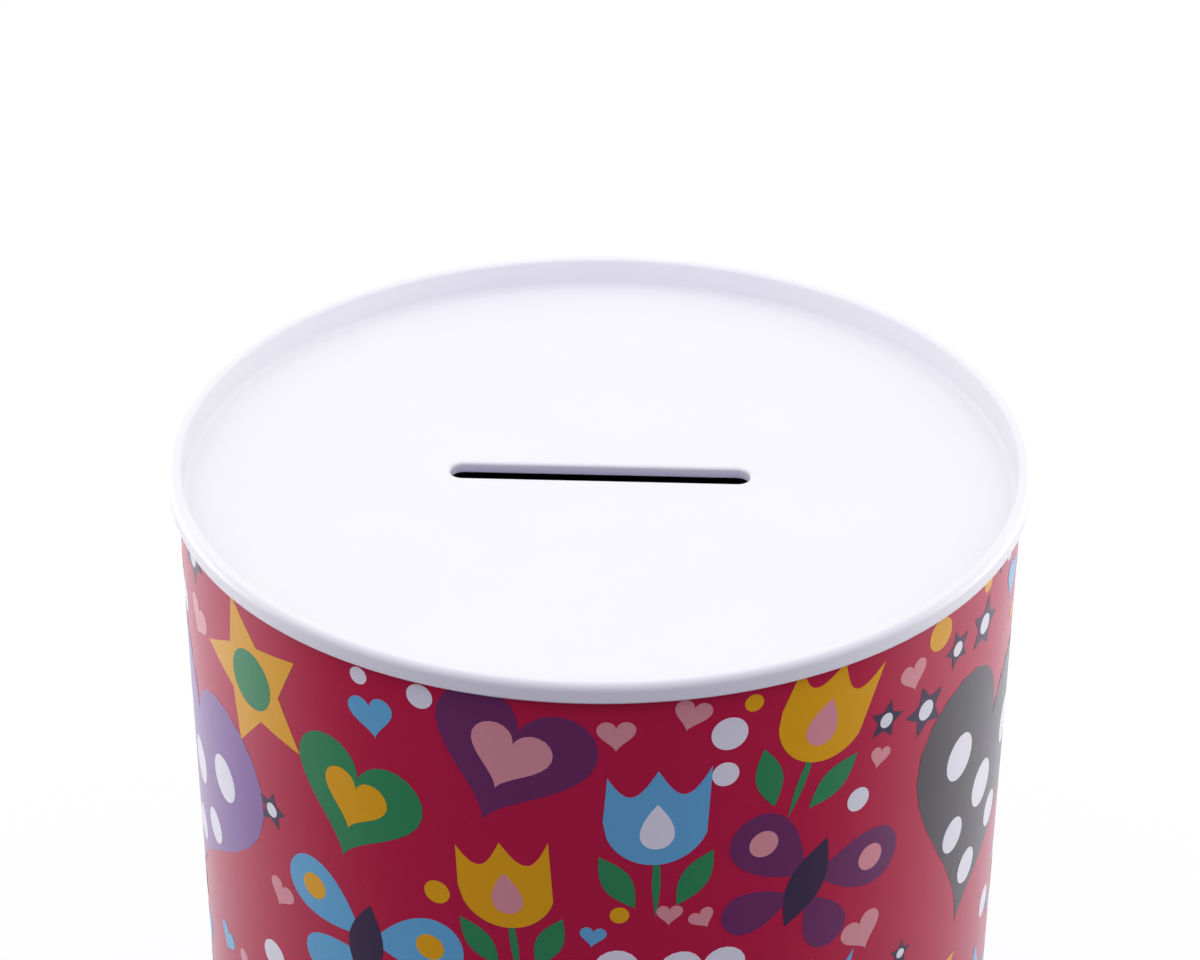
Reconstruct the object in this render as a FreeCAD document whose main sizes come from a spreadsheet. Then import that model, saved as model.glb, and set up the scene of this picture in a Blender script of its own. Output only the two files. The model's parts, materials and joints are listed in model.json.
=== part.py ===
import FreeCAD, Part
import math
import os

import Sketcher

# A tin money box: a rolled tinplate tube, a slotted top end and a base end double-seamed to it,
# and a soft stopper pushed into the base. Millimetres, +Z up, origin at the centre of the ring
# that the can stands on.

# Driving dimensions: name, size, what it measures
SIZES = (
    ("can_height", 120.0, "ring the can stands on, up to the top of the upper seam"),
    ("body_diameter", 100.0, "outside of the tube"),
    ("body_plate", 0.2, "tinplate of the tube"),
    ("end_plate", 0.24, "tinplate of both ends"),
    ("seam_gap", 0.06, "space between two plates of a seam"),
    ("seam_height", 2.4, "length of a seam, seen from outside"),
    ("seam_land", 0.14, "flat ring on the crown of a seam"),
    ("crown_lean", 0.14, "how far that flat ring lies inside the middle of the seam"),
    ("hook_end_gap", 0.15, "space between the end of a hook and the fold that it lies in"),
    ("weld_width", 0.8, "side weld of the tube"),
    ("weld_proud", 0.08, "how far the side weld stands out"),
    ("weld_end_gap", 0.4, "space between the side weld and a seam"),
    ("countersink", 3.85, "crown of a seam to the panel of its end"),
    ("foot_radius", 0.6, "hollow corner between panel and wall"),
    ("slot_length", 35.7, "clear length of the coin slot"),
    ("slot_width", 3.6, "clear width of the coin slot"),
    ("slot_corner", 1.55, "corner radius of the coin slot"),
    ("slot_edge", 0.43, "rounding where the panel turns down into the slot"),
    ("slot_lip", 1.5, "panel to the lower edge of the slot's lip"),
    ("lip_edge", 0.17, "rounding inside the lower edge of the slot's lip"),
    ("hole_diameter", 38.0, "clear bore of the hole in the base"),
    ("hole_lip", 2.0, "how far the rim of the hole stands up into the can"),
    ("hole_bend", 0.5, "rounding where the base turns up into the hole"),
    ("plug_clearance", 0.15, "space between the stopper's bead and the hole"),
    ("seat_gap", 0.1, "space between the stopper's flange and the base"),
    ("flange_diameter", 44.0, "head of the stopper"),
    ("flange_thickness", 1.4, "head of the stopper"),
    ("flange_edge", 0.4, "bevel round the head of the stopper"),
    ("neck_depth", 0.5, "how far the groove under the bead is cut in"),
    ("bead_gap", 0.3, "space between the rim of the hole and the bead"),
    ("bead_slope", 0.4, "slope at the lower side of the bead"),
    ("bead_height", 3.6, "bead and lead-in of the stopper"),
    ("lead_in", 0.9, "bevel at the inner end of the stopper"),
    ("plug_wall", 1.3, "skirt of the stopper"),
    ("cup_floor", 1.6, "floor of the stopper's hollow, above its flange"),
    ("tab_width", 10.0, "pull tab of the stopper"),
    ("tab_length", 5.0, "pull tab beyond the flange"),
    ("tab_thickness", 0.8, "pull tab"),
    ("tab_corner", 2.0, "outer corners of the pull tab"),
)

doc = FreeCAD.newDocument("tin_money_box")
sheet = doc.addObject("Spreadsheet::Sheet", "sizes")
for row, (alias, number, meaning) in enumerate(SIZES, start=1):
    sheet.set(f"A{row}", meaning)
    sheet.set(f"B{row}", str(number))
    sheet.setAlias(f"B{row}", alias)
doc.recompute()


# Radii of the five layers of a seam, from the inside outwards
BODY_OUT = "(sizes.body_diameter / 2)"
BODY_IN = f"({BODY_OUT} - sizes.body_plate)"
CHUCK_OUT = f"({BODY_IN} - sizes.seam_gap)"
CHUCK_IN = f"({CHUCK_OUT} - sizes.end_plate)"
COVER_HOOK_IN = f"({BODY_OUT} + sizes.seam_gap)"
COVER_HOOK_OUT = f"({COVER_HOOK_IN} + sizes.end_plate)"
BODY_HOOK_IN = f"({COVER_HOOK_OUT} + sizes.seam_gap)"
BODY_HOOK_OUT = f"({BODY_HOOK_IN} + sizes.body_plate)"
SEAM_IN = f"({BODY_HOOK_OUT} + sizes.seam_gap)"
SEAM_OUT = f"({SEAM_IN} + sizes.end_plate)"

# Bends at the crown of a seam: the plates under each bend share its centre
MEAN_BEND = f"(({SEAM_OUT} - {CHUCK_IN} - sizes.seam_land) / 2)"
INNER_BEND = f"({MEAN_BEND} - sizes.crown_lean)"
OUTER_BEND = f"({MEAN_BEND} + sizes.crown_lean)"
COVER_INNER = f"({INNER_BEND} - sizes.end_plate)"
COVER_OUTER = f"({OUTER_BEND} - sizes.end_plate)"
FLANGE_INNER = f"({COVER_INNER} - sizes.seam_gap)"
FLANGE_OUTER = f"({COVER_OUTER} - sizes.seam_gap)"

# Corners of the fold that closes a seam
FOLD_BEND = f"({MEAN_BEND} - sizes.end_plate)"

# Depths below the crown of a seam
FLANGE_TOP = "(sizes.end_plate + sizes.seam_gap)"
FLANGE_UNDER = f"({FLANGE_TOP} + sizes.body_plate)"
COVER_HOOK_END = f"({FLANGE_UNDER} + sizes.hook_end_gap)"
FOLD_FLOOR = "(sizes.seam_height - sizes.end_plate)"
BODY_HOOK_END = f"({FOLD_FLOOR} - sizes.hook_end_gap)"
PANEL_IN = "(sizes.countersink + sizes.end_plate)"

# A bevel that meets a bend of the same radius at the middle of its turn
BEVEL_SHARE = 2 - math.sqrt(2)


def top_level(depth):
    """Height of a point that lies this far below the crown of the upper seam."""
    return f"(sizes.can_height - {depth})"


def base_level(depth):
    """Height of a point that lies this far above the crown of the lower seam."""
    return depth


def value(expression):
    """The number that an expression of the sheet's sizes gives now."""
    return float(sheet.evalExpression(expression))


def bend(radius):
    return ("bend", radius)


def fold(radius):
    """A corner pressed flat inside a seam."""
    return ("bevel", f"{BEVEL_SHARE} * {radius}")


def bevel(leg):
    return ("bevel", leg)


SHARP = ("sharp", "0")


def add_bound(sketch, constraint, expression):
    """Adds a dimension to the sketch and ties it to the sheet."""
    index = sketch.addConstraint(constraint)
    sketch.setExpression(f"Constraints[{index}]", expression)


def draw_loop(sketch, walls):
    """Draws a closed outline of upright and level walls.

    Each wall is (axis, place, corner): axis "x" is an upright wall at that x, axis "y" a level wall
    at that y, and corner is how the wall meets the next one.
    """
    count = len(walls)
    places = [value(place) for _, place, _ in walls]

    def corner_point(index):
        """Where a wall would meet the next one if the corner were sharp."""
        following = (index + 1) % count
        if walls[index][0] == "x":
            return FreeCAD.Vector(places[index], places[following], 0)
        return FreeCAD.Vector(places[following], places[index], 0)

    points = [corner_point(index) for index in range(count)]
    ways = []
    for index in range(count):
        way = points[index] - points[index - 1]
        ways.append(way.normalize())
    cuts = [value(size) for _, _, (_, size) in walls]

    lines = []
    for index in range(count):
        start = points[index - 1] + ways[index] * cuts[index - 1]
        end = points[index] - ways[index] * cuts[index]
        line = sketch.addGeometry(Part.LineSegment(start, end))
        lines.append(line)

    for index, (axis, place, (kind, size)) in enumerate(walls):
        line = lines[index]
        following = (index + 1) % count
        next_line = lines[following]
        sketch.addConstraint(Sketcher.Constraint("Vertical" if axis == "x" else "Horizontal", line))
        measure = "DistanceX" if axis == "x" else "DistanceY"
        add_bound(sketch, Sketcher.Constraint(measure, -1, 1, line, 1, places[index]), place)
        if kind == "sharp":
            sketch.addConstraint(Sketcher.Constraint("Coincident", line, 2, next_line, 1))
            continue
        cut = cuts[index]
        leave = points[index] - ways[index] * cut
        enter = points[index] + ways[following] * cut
        if kind == "bevel":
            slope = sketch.addGeometry(Part.LineSegment(leave, enter))
            sketch.addConstraint(Sketcher.Constraint("Coincident", line, 2, slope, 1))
            sketch.addConstraint(Sketcher.Constraint("Coincident", slope, 2, next_line, 1))
            across = (1, 2) if enter.x > leave.x else (2, 1)
            upward = (1, 2) if enter.y > leave.y else (2, 1)
            legs = (("DistanceX", across), ("DistanceY", upward))
            for measure, (low, high) in legs:
                add_bound(sketch, Sketcher.Constraint(measure, slope, low, slope, high, cut), size)
            continue
        centre = leave + ways[following] * cut
        turns_left = ways[index].cross(ways[following]).z > 0
        first, last = (leave, enter) if turns_left else (enter, leave)
        first_angle = math.atan2(first.y - centre.y, first.x - centre.x)
        circle = Part.Circle(centre, FreeCAD.Vector(0, 0, 1), cut)
        arc = sketch.addGeometry(Part.ArcOfCircle(circle, first_angle, first_angle + math.pi / 2))
        arc_leave, arc_enter = (1, 2) if turns_left else (2, 1)
        sketch.addConstraint(Sketcher.Constraint("Tangent", line, 2, arc, arc_leave))
        sketch.addConstraint(Sketcher.Constraint("Tangent", arc, arc_enter, next_line, 1))
        add_bound(sketch, Sketcher.Constraint("Radius", arc, cut), size)


def new_body(label):
    body = doc.addObject("PartDesign::Body", label)
    body.Label = label
    body.Placement = FreeCAD.Placement()
    return body


def new_sketch(body, name, plane_role, walls, height="0"):
    """A sketch on one of the body's own planes, lifted to a height where it lies level."""
    sketch = body.newObject("Sketcher::SketchObject", name)
    plane = next(feature for feature in body.Origin.OriginFeatures if feature.Role == plane_role)
    sketch.AttachmentSupport = (plane, [""])
    sketch.MapMode = "FlatFace"
    sketch.setExpression("AttachmentOffset.Base.z", height)
    draw_loop(sketch, walls)
    doc.recompute()
    if not sketch.FullyConstrained:
        raise RuntimeError(f"sketch {name} is not fully constrained")
    return sketch


def add_revolution(body, name, walls):
    """Turns an outline of radii (x) and heights (y) once round the can's axis."""
    turned = body.newObject("PartDesign::Revolution", name)
    sketch = new_sketch(body, f"{name}_outline", "YZ_Plane", walls)
    turned.Profile = sketch
    turned.ReferenceAxis = (sketch, ["V_Axis"])
    turned.Angle = 360
    doc.recompute()
    return turned


def add_pad(body, name, walls, height, length, downward=False):
    sketch = new_sketch(body, f"{name}_outline", "XY_Plane", walls, height)
    pad = body.newObject("PartDesign::Pad", name)
    pad.Profile = sketch
    pad.Reversed = downward
    pad.setExpression("Length", length)
    doc.recompute()
    return pad


def add_pocket(body, name, walls, height, depth):
    """Cuts an outline downwards from a height."""
    before = body.Shape.Volume
    sketch = new_sketch(body, f"{name}_outline", "XY_Plane", walls, height)
    pocket = body.newObject("PartDesign::Pocket", name)
    pocket.Profile = sketch
    pocket.setExpression("Length", depth)
    doc.recompute()
    if body.Shape.Volume >= before:
        raise RuntimeError(f"pocket {name} cut nothing")
    return pocket


def rounded_rectangle(length, width, corner):
    """Walls of a rectangle about the axis, with round corners."""
    return (
        ("x", f"{length} / 2", bend(corner)),
        ("y", f"{width} / 2", bend(corner)),
        ("x", f"-{length} / 2", bend(corner)),
        ("y", f"-{width} / 2", bend(corner)),
    )


def seamed_rim(level):
    """Walls of an end from its panel outwards, over the crown, down and back up as the cover hook.

    The list starts with the chuck wall and ends with the other side of the same wall.
    """
    return (
        ("x", CHUCK_IN, bend(INNER_BEND)),
        ("y", level("0"), bend(OUTER_BEND)),
        ("x", SEAM_OUT, fold(FOLD_BEND)),
        ("y", level("sizes.seam_height"), fold(FOLD_BEND)),
        ("x", COVER_HOOK_IN, SHARP),
        ("y", level(COVER_HOOK_END), SHARP),
        ("x", COVER_HOOK_OUT, SHARP),
        ("y", level(FOLD_FLOOR), SHARP),
        ("x", SEAM_IN, fold(COVER_OUTER)),
        ("y", level("sizes.end_plate"), fold(COVER_INNER)),
        ("x", CHUCK_OUT, fold("(sizes.foot_radius + sizes.end_plate)")),
    )


def body_hook(level):
    """Walls of one end of the tube: up the inside, over the flange, down the hook and back."""
    return (
        ("x", BODY_IN, fold(FLANGE_INNER)),
        ("y", level(FLANGE_TOP), fold(FLANGE_OUTER)),
        ("x", BODY_HOOK_OUT, SHARP),
        ("y", level(BODY_HOOK_END), SHARP),
        ("x", BODY_HOOK_IN, SHARP),
        ("y", level(FLANGE_UNDER), SHARP),
    )


def make_body_wall():
    """Rolled tube with a hook at each end and a weld down the back."""
    body = new_body("body_wall")
    upper = body_hook(top_level)
    lower = body_hook(base_level)
    # the lower hook is met from outside, so its walls come in the opposite order
    lower_places = [(axis, place) for axis, place, _ in reversed(lower[1:])]
    lower_corners = [corner for _, _, corner in reversed(lower[:-1])]
    lower_walls = [place + (corner,) for place, corner in zip(lower_places, lower_corners)]
    add_revolution(body, "tube", (*upper, ("x", BODY_OUT, SHARP), *lower_walls))
    weld_start = "(sizes.seam_height + sizes.weld_end_gap)"
    weld = (
        ("x", "sizes.weld_width / 2", SHARP),
        ("y", f"{BODY_OUT} + sizes.weld_proud", SHARP),
        ("x", "-sizes.weld_width / 2", SHARP),
        ("y", f"{BODY_OUT} - sizes.body_plate / 2", SHARP),
    )
    add_pad(body, "side_weld", weld, weld_start, f"sizes.can_height - 2 * {weld_start}")
    return body


def make_top_end():
    """End with a recessed panel and a coin slot whose edge turns down."""
    body = new_body("top_end")
    panel = top_level("sizes.countersink")
    panel_under = top_level(PANEL_IN)
    plate = (
        ("x", "0", SHARP),
        ("y", panel, bend("sizes.foot_radius")),
        *seamed_rim(top_level),
        ("y", panel_under, SHARP),
    )
    add_revolution(body, "pressed_end", plate)
    lip = rounded_rectangle(
        "(sizes.slot_length + 2 * sizes.end_plate)",
        "(sizes.slot_width + 2 * sizes.end_plate)",
        "(sizes.slot_corner + sizes.end_plate)",
    )
    add_pad(body, "slot_lip", lip, panel_under, "sizes.slot_lip - sizes.end_plate", downward=True)
    slot = rounded_rectangle("sizes.slot_length", "sizes.slot_width", "sizes.slot_corner")
    pocket = add_pocket(body, "coin_slot", slot, panel, "sizes.slot_lip")
    rounded = add_slot_rounding(body, "slot_edge", pocket, panel, "sizes.slot_edge")
    lip_end = f"({panel} - sizes.slot_lip)"
    add_slot_rounding(body, "lip_edge", rounded, lip_end, "sizes.lip_edge")
    return body


def add_slot_rounding(body, name, feature, level, radius):
    """Rounds the edges of the slot's wall that lie at this level."""
    height = value(level)
    half_length = value("sizes.slot_length") / 2
    half_width = value("sizes.slot_width") / 2
    names = []
    touch = 1e-6
    for number, edge in enumerate(feature.Shape.Edges, start=1):
        box = edge.BoundBox
        at_level = abs(box.ZMin - height) < touch and abs(box.ZMax - height) < touch
        in_length = max(abs(box.XMin), abs(box.XMax)) < half_length + touch
        in_width = max(abs(box.YMin), abs(box.YMax)) < half_width + touch
        if at_level and in_length and in_width:
            names.append(f"Edge{number}")
    rounding = body.newObject("PartDesign::Fillet", name)
    rounding.Base = (feature, names)
    rounding.setExpression("Radius", radius)
    doc.recompute()
    return rounding


def make_bottom_end():
    """End with a round hole for the stopper, its rim turned up into the can."""
    body = new_body("bottom_end")
    hole = "(sizes.hole_diameter / 2)"
    plate = (
        ("x", hole, bend("sizes.hole_bend")),
        ("y", base_level("sizes.countersink"), fold("sizes.foot_radius")),
        *seamed_rim(base_level),
        ("y", base_level(PANEL_IN), SHARP),
        ("x", f"({hole} + sizes.end_plate)", SHARP),
        ("y", base_level(f"({PANEL_IN} + sizes.hole_lip)"), SHARP),
    )
    add_revolution(body, "pressed_end", plate)
    return body


def make_base_stopper():
    """Soft push-in stopper: flange with a pull tab, groove, bead and hollow skirt."""
    body = new_body("base_stopper")
    bead_radius = "(sizes.hole_diameter / 2 - sizes.plug_clearance)"
    neck_radius = f"({bead_radius} - sizes.neck_depth)"
    flange_top = "(sizes.countersink - sizes.seat_gap)"
    flange_under = f"({flange_top} - sizes.flange_thickness)"
    bead_start = f"({PANEL_IN} + sizes.hole_lip + sizes.bead_gap)"
    flange_radius = "(sizes.flange_diameter / 2)"
    stopper = (
        ("x", "0", SHARP),
        ("y", flange_under, bevel("sizes.flange_edge")),
        ("x", flange_radius, SHARP),
        ("y", flange_top, SHARP),
        ("x", neck_radius, SHARP),
        ("y", bead_start, bevel("sizes.bead_slope")),
        ("x", bead_radius, bevel("sizes.lead_in")),
        ("y", f"({bead_start} + sizes.bead_height)", SHARP),
        ("x", f"({neck_radius} - sizes.plug_wall)", SHARP),
        ("y", f"({flange_top} + sizes.cup_floor)", SHARP),
    )
    add_revolution(body, "moulded_plug", stopper)
    tab = (
        ("x", "sizes.tab_width / 2", SHARP),
        ("y", f"-{flange_radius} + sizes.tab_length", SHARP),
        ("x", "-sizes.tab_width / 2", bend("sizes.tab_corner")),
        ("y", f"-{flange_radius} - sizes.tab_length", bend("sizes.tab_corner")),
    )
    add_pad(body, "pull_tab", tab, flange_under, "sizes.tab_thickness")
    return body


pieces = (make_body_wall(), make_top_end(), make_bottom_end(), make_base_stopper())
doc.recompute()

for item in doc.Objects:
    if "Invalid" in item.State or "Error" in item.State:
        raise RuntimeError(f"{item.Label} did not build")
for piece in pieces:
    if piece.Shape.isNull() or not piece.Shape.isValid() or len(piece.Shape.Solids) != 1:
        raise RuntimeError(f"{piece.Label} is not one valid solid")

os.makedirs("parts", exist_ok=True)
for piece in pieces:
    piece.Shape.exportStep(f"parts/{piece.Label}.step")
    box = piece.Shape.BoundBox
    print(
        f"{piece.Label}: {box.XLength:.2f} x {box.YLength:.2f} x {box.ZLength:.2f} mm,"
        f" from z {box.ZMin:.2f}, volume {piece.Shape.Volume:.1f} mm3"
    )
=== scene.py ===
# %% [markdown]
# A tin money box in Blender
#
# The box is a three-piece can: a printed tinplate wall with a white top and a plain base folded onto it.
# The solids come from the CAD frame and are already right, so this lesson is about finishes: lacquer,
# litho print under varnish, bright tinplate and soft plastic. Everything is in metres, in the frame's own
# place, and every pattern is worked out from a real size in millimetres.

# %% Load the frame
import json
import math
import random
from collections import namedtuple

import bmesh
import bpy
from mathutils import Euler, Matrix, Vector

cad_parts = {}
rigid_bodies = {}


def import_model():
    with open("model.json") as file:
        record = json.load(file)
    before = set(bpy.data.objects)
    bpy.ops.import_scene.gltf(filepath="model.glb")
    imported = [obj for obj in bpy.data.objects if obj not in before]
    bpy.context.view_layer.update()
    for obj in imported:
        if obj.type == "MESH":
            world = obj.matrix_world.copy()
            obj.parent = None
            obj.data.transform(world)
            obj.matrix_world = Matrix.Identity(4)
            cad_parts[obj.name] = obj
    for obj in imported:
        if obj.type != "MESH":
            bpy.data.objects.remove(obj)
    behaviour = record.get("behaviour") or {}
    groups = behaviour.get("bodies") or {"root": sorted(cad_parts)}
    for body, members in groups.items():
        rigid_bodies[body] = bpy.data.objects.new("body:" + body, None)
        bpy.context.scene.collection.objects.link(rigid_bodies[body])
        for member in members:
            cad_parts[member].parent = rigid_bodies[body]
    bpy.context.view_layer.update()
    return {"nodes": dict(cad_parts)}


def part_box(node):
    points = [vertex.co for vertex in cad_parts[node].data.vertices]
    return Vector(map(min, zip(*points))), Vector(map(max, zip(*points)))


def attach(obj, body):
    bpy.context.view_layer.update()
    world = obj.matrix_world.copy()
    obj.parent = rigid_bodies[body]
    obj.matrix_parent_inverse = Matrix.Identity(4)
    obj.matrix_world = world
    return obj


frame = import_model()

MM = 0.001
nodes = frame["nodes"]
_, top_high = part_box("top_end")
can_height = top_high.z
rim_radius = top_high.x
print("can", round(can_height / MM, 2), "mm high, rim", round(2 * rim_radius / MM, 2), "mm across")

# %% [markdown]
# Camera
#
# The photograph looks down on the can through a long lens. The lens and the place were worked out from the
# ellipse of the rim: its width gives the distance, its flatness the height, and the way the wall narrows
# downwards gives the focal length. The slot lies along X and looks turned a little, because the camera
# stands slightly to the right of the front and leans a hair to one side.

# %% Camera
PHOTO_WIDTH_PX = 1200
FOCAL_PX = 3075
SENSOR_MM = 36
CAMERA_REACH = 317.4 * MM
CAMERA_HEIGHT = 300.3 * MM
CAMERA_PITCH = math.radians(30.265)
CAMERA_ROLL = math.radians(0.23)
CAMERA_AZIMUTH = math.radians(2.1)


def add_object(name, data):
    """An object with this data, linked into the scene."""
    made = bpy.data.objects.new(name, data)
    bpy.context.scene.collection.objects.link(made)
    return made


camera_data = bpy.data.cameras.new("camera")
camera_data.sensor_width = SENSOR_MM
camera_data.lens = FOCAL_PX / PHOTO_WIDTH_PX * SENSOR_MM
camera = add_object("camera", camera_data)
camera.location = (
    CAMERA_REACH * math.sin(CAMERA_AZIMUTH),
    -CAMERA_REACH * math.cos(CAMERA_AZIMUTH),
    CAMERA_HEIGHT,
)
level_view = Euler((math.pi / 2 - CAMERA_PITCH, 0, CAMERA_AZIMUTH)).to_matrix()
camera.rotation_euler = (level_view @ Matrix.Rotation(CAMERA_ROLL, 3, "Z")).to_euler()
bpy.context.scene.camera = camera
print("lens", round(camera_data.lens, 1), "mm")

# %% [markdown]
# Helpers for finishes
#
# Colours are written as sRGB hex values, the way a printer would note them, and turned to linear light.
# One function adds any node: keyword arguments are its settings, and the dictionary gives its inputs, each
# a plain value or another node's output to link. A Mix node has one set of sockets for each kind of data,
# all with the same names, so those for colours are told by their numbers.

# %% Helpers for colours and nodes
COLOUR_A = 6
COLOUR_B = 7
COLOUR_RESULT = 2


def linear(hex_colour):
    """Linear RGBA from an sRGB hex value such as #C8213F, by the formula of the sRGB standard."""
    shares = [int(hex_colour[start : start + 2], 16) / 255 for start in (1, 3, 5)]
    light = [c / 12.92 if c <= 0.04045 else ((c + 0.055) / 1.055) ** 2.4 for c in shares]
    return (*light, 1)


def add(tree, kind, inputs=None, **settings):
    """Adds a node with its settings, and sets or links its inputs."""
    made = tree.nodes.new(kind)
    for name, setting in settings.items():
        setattr(made, name, setting)
    for key, given in (inputs or {}).items():
        socket = made.inputs[key]
        if isinstance(given, bpy.types.NodeSocket):
            tree.links.new(given, socket)
        else:
            socket.default_value = given
    return made


def new_finish(name):
    """A new material, its cleared node tree, and the Object coordinates that its patterns read."""
    finish = bpy.data.materials.new(name)
    finish.use_nodes = True
    tree = finish.node_tree
    tree.nodes.clear()
    return finish, tree, add(tree, "ShaderNodeTexCoord").outputs["Object"]


def per_mm(size):
    """Texture scale at which one step of a pattern is this many millimetres."""
    return 1 / (size * MM)


print("half of full sRGB is", round(linear("#808080")[0], 3), "in linear light")

# %% [markdown]
# White lacquer
#
# The top is sprayed or roller-coated tinplate, stoved to a hard white with a faint cool tint. Lacquer flows
# as it cures and leaves orange peel: soft waves a millimetre or two across and a micron or two high, which
# only show in the reflections. So the colour is nearly even and the waves go into bump and roughness. Down
# the lip of the slot the white is painted darker and bluish: this is painted shade deep in the slot.

# %% White lacquer
LACQUER_WHITE = linear("#F3F3F5")
LACQUER_SHADE = linear("#F0F0F3")
# Painted shade: a darker, bluer white for the lip deep in the slot
LACQUER_SLOT_SHADE = linear("#DCD9F0")
LACQUER_ROUGHNESS = (0.30, 0.38)
LACQUER_IOR = 1.5
COUNTERSINK = 3.85 * MM
# Depths below the panel over which the painted shade of the slot comes in
SLOT_SHADE_STARTS = 0.2 * MM
SLOT_SHADE_ENDS = 1.2 * MM
PEEL_MM = 1.6
PEEL_DETAIL = 2.0
PEEL_HEIGHT = 0.004 * MM
PEEL_STRENGTH = 0.6
CLOUD_MM = 14
CLOUD_DETAIL = 3.0

panel_level = can_height - COUNTERSINK
white_lacquer, tree, place = new_finish("stoved_white_lacquer")
peel = add(
    tree,
    "ShaderNodeTexNoise",
    {"Vector": place, "Scale": per_mm(PEEL_MM), "Detail": PEEL_DETAIL},
)
cloud = add(
    tree,
    "ShaderNodeTexNoise",
    {"Vector": place, "Scale": per_mm(CLOUD_MM), "Detail": CLOUD_DETAIL},
)
tint = add(
    tree,
    "ShaderNodeMix",
    {"Factor": cloud.outputs["Fac"], COLOUR_A: LACQUER_WHITE, COLOUR_B: LACQUER_SHADE},
    data_type="RGBA",
)
# Painted shade down the lip of the slot, darker the deeper it goes below the panel
slot_shade = add(
    tree,
    "ShaderNodeMapRange",
    {
        "Value": add(tree, "ShaderNodeSeparateXYZ", {"Vector": place}).outputs["Z"],
        "From Min": panel_level - SLOT_SHADE_STARTS,
        "From Max": panel_level - SLOT_SHADE_ENDS,
    },
)
coat = add(
    tree,
    "ShaderNodeMix",
    {"Factor": slot_shade.outputs["Result"], COLOUR_A: tint.outputs[COLOUR_RESULT], COLOUR_B: LACQUER_SLOT_SHADE},
    data_type="RGBA",
)
gloss = add(
    tree,
    "ShaderNodeMapRange",
    {"Value": peel.outputs["Fac"], "To Min": LACQUER_ROUGHNESS[0], "To Max": LACQUER_ROUGHNESS[1]},
)
waves = add(
    tree,
    "ShaderNodeBump",
    {"Height": peel.outputs["Fac"], "Strength": PEEL_STRENGTH, "Distance": PEEL_HEIGHT},
)
shader = add(
    tree,
    "ShaderNodeBsdfPrincipled",
    {
        "Base Color": coat.outputs[COLOUR_RESULT],
        "Roughness": gloss.outputs["Result"],
        "Normal": waves.outputs["Normal"],
        "IOR": LACQUER_IOR,
    },
)
add(tree, "ShaderNodeOutputMaterial", {"Surface": shader.outputs["BSDF"]})
nodes["top_end"].material_slots[0].material = white_lacquer
print("top_end has", white_lacquer.name)

# %% [markdown]
# Coat of the rim
#
# A close view of the rim needs more faces than a solid of the whole can carries. The coat of lacquer is
# therefore a film of its own there: its section is a few square corners with their bends, and turning that
# section round the axis gives an even mesh. It thins out to nothing on the panel, fills the corner at the
# foot of the wall and rounds the fold of the seam. A tenth of a millimetre is more than a real coat has,
# and it is what such a coat and the soft folds under it look like together.

# %% Section of the coat
SEAM_WIDTH = 1.36 * MM
SEAM_HEIGHT = 2.4 * MM
FOOT_FILLET = 0.82 * MM
INNER_BEND = 0.32 * MM
SHOULDER_WIDTH = 0.56 * MM
SHOULDER_DROP = 0.98 * MM
LOWER_BEND = 0.2 * MM
COAT_PROUD = 0.1 * MM
COAT_ROOT = 0.05 * MM
COAT_STARTS = rim_radius - 16 * MM
COAT_FULL = rim_radius - 3.5 * MM
COAT_ENDS = rim_radius - 0.55 * MM
BEND_STEPS = 14
BEND_GUARD = 0.03 * MM

chuck_wall = rim_radius - SEAM_WIDTH
seam_foot = can_height - SEAM_HEIGHT


def rim_corners(lift, start):
    """Corners of the rim's section, lifted off the plate: place, bend before it and bend after it."""
    foot = FOOT_FILLET - lift
    inner = INNER_BEND + lift
    lower = LOWER_BEND + lift
    return (
        (Vector((start, panel_level + lift)), 0, 0),
        (Vector((chuck_wall - lift, panel_level + lift)), foot, foot),
        (Vector((chuck_wall - lift, can_height + lift)), inner, inner),
        (Vector((rim_radius + lift, can_height + lift)), SHOULDER_WIDTH + lift, SHOULDER_DROP + lift),
        (Vector((rim_radius + lift, seam_foot - lift)), lower, lower),
        (Vector((COAT_ENDS, seam_foot - lift)), 0, 0),
    )


def bent_line(corners):
    """Points along a line of square corners, each rounded by a quarter of an ellipse."""
    line = [corners[0][0]]
    for (before, *_), (corner, reach_in, reach_out), (after, *_) in zip(corners, corners[1:], corners[2:]):
        way_in = (corner - before).normalized()
        way_out = (after - corner).normalized()
        centre = corner - way_in * reach_in + way_out * reach_out
        line.append(corner - way_in * (reach_in + BEND_GUARD))
        for step in range(BEND_STEPS + 1):
            turn = math.pi / 2 * step / BEND_STEPS
            line.append(centre + way_in * reach_in * math.sin(turn) - way_out * reach_out * math.cos(turn))
        line.append(corner + way_out * (reach_out + BEND_GUARD))
    line.append(corners[-1][0])
    return line


coat_face = bent_line(rim_corners(COAT_PROUD, COAT_FULL))
coat_back = bent_line(rim_corners(-COAT_ROOT, COAT_STARTS))
coat_section = coat_face + coat_back[::-1]
print("section of the coat has", len(coat_section), "points")

# %% Turn the coat round the can
TURN_STEPS = 320
SHARP_EDGE = math.radians(30)


def finished_mesh(name, shape):
    """A mesh of a built shape, with its faces outwards, smooth but for its sharp edges."""
    bmesh.ops.recalc_face_normals(shape, faces=shape.faces[:])
    for face in shape.faces:
        face.smooth = True
    for edge in shape.edges:
        edge.smooth = edge.calc_face_angle(math.pi) < SHARP_EDGE
    mesh = bpy.data.meshes.new(name)
    shape.to_mesh(mesh)
    shape.free()
    return mesh


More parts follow.
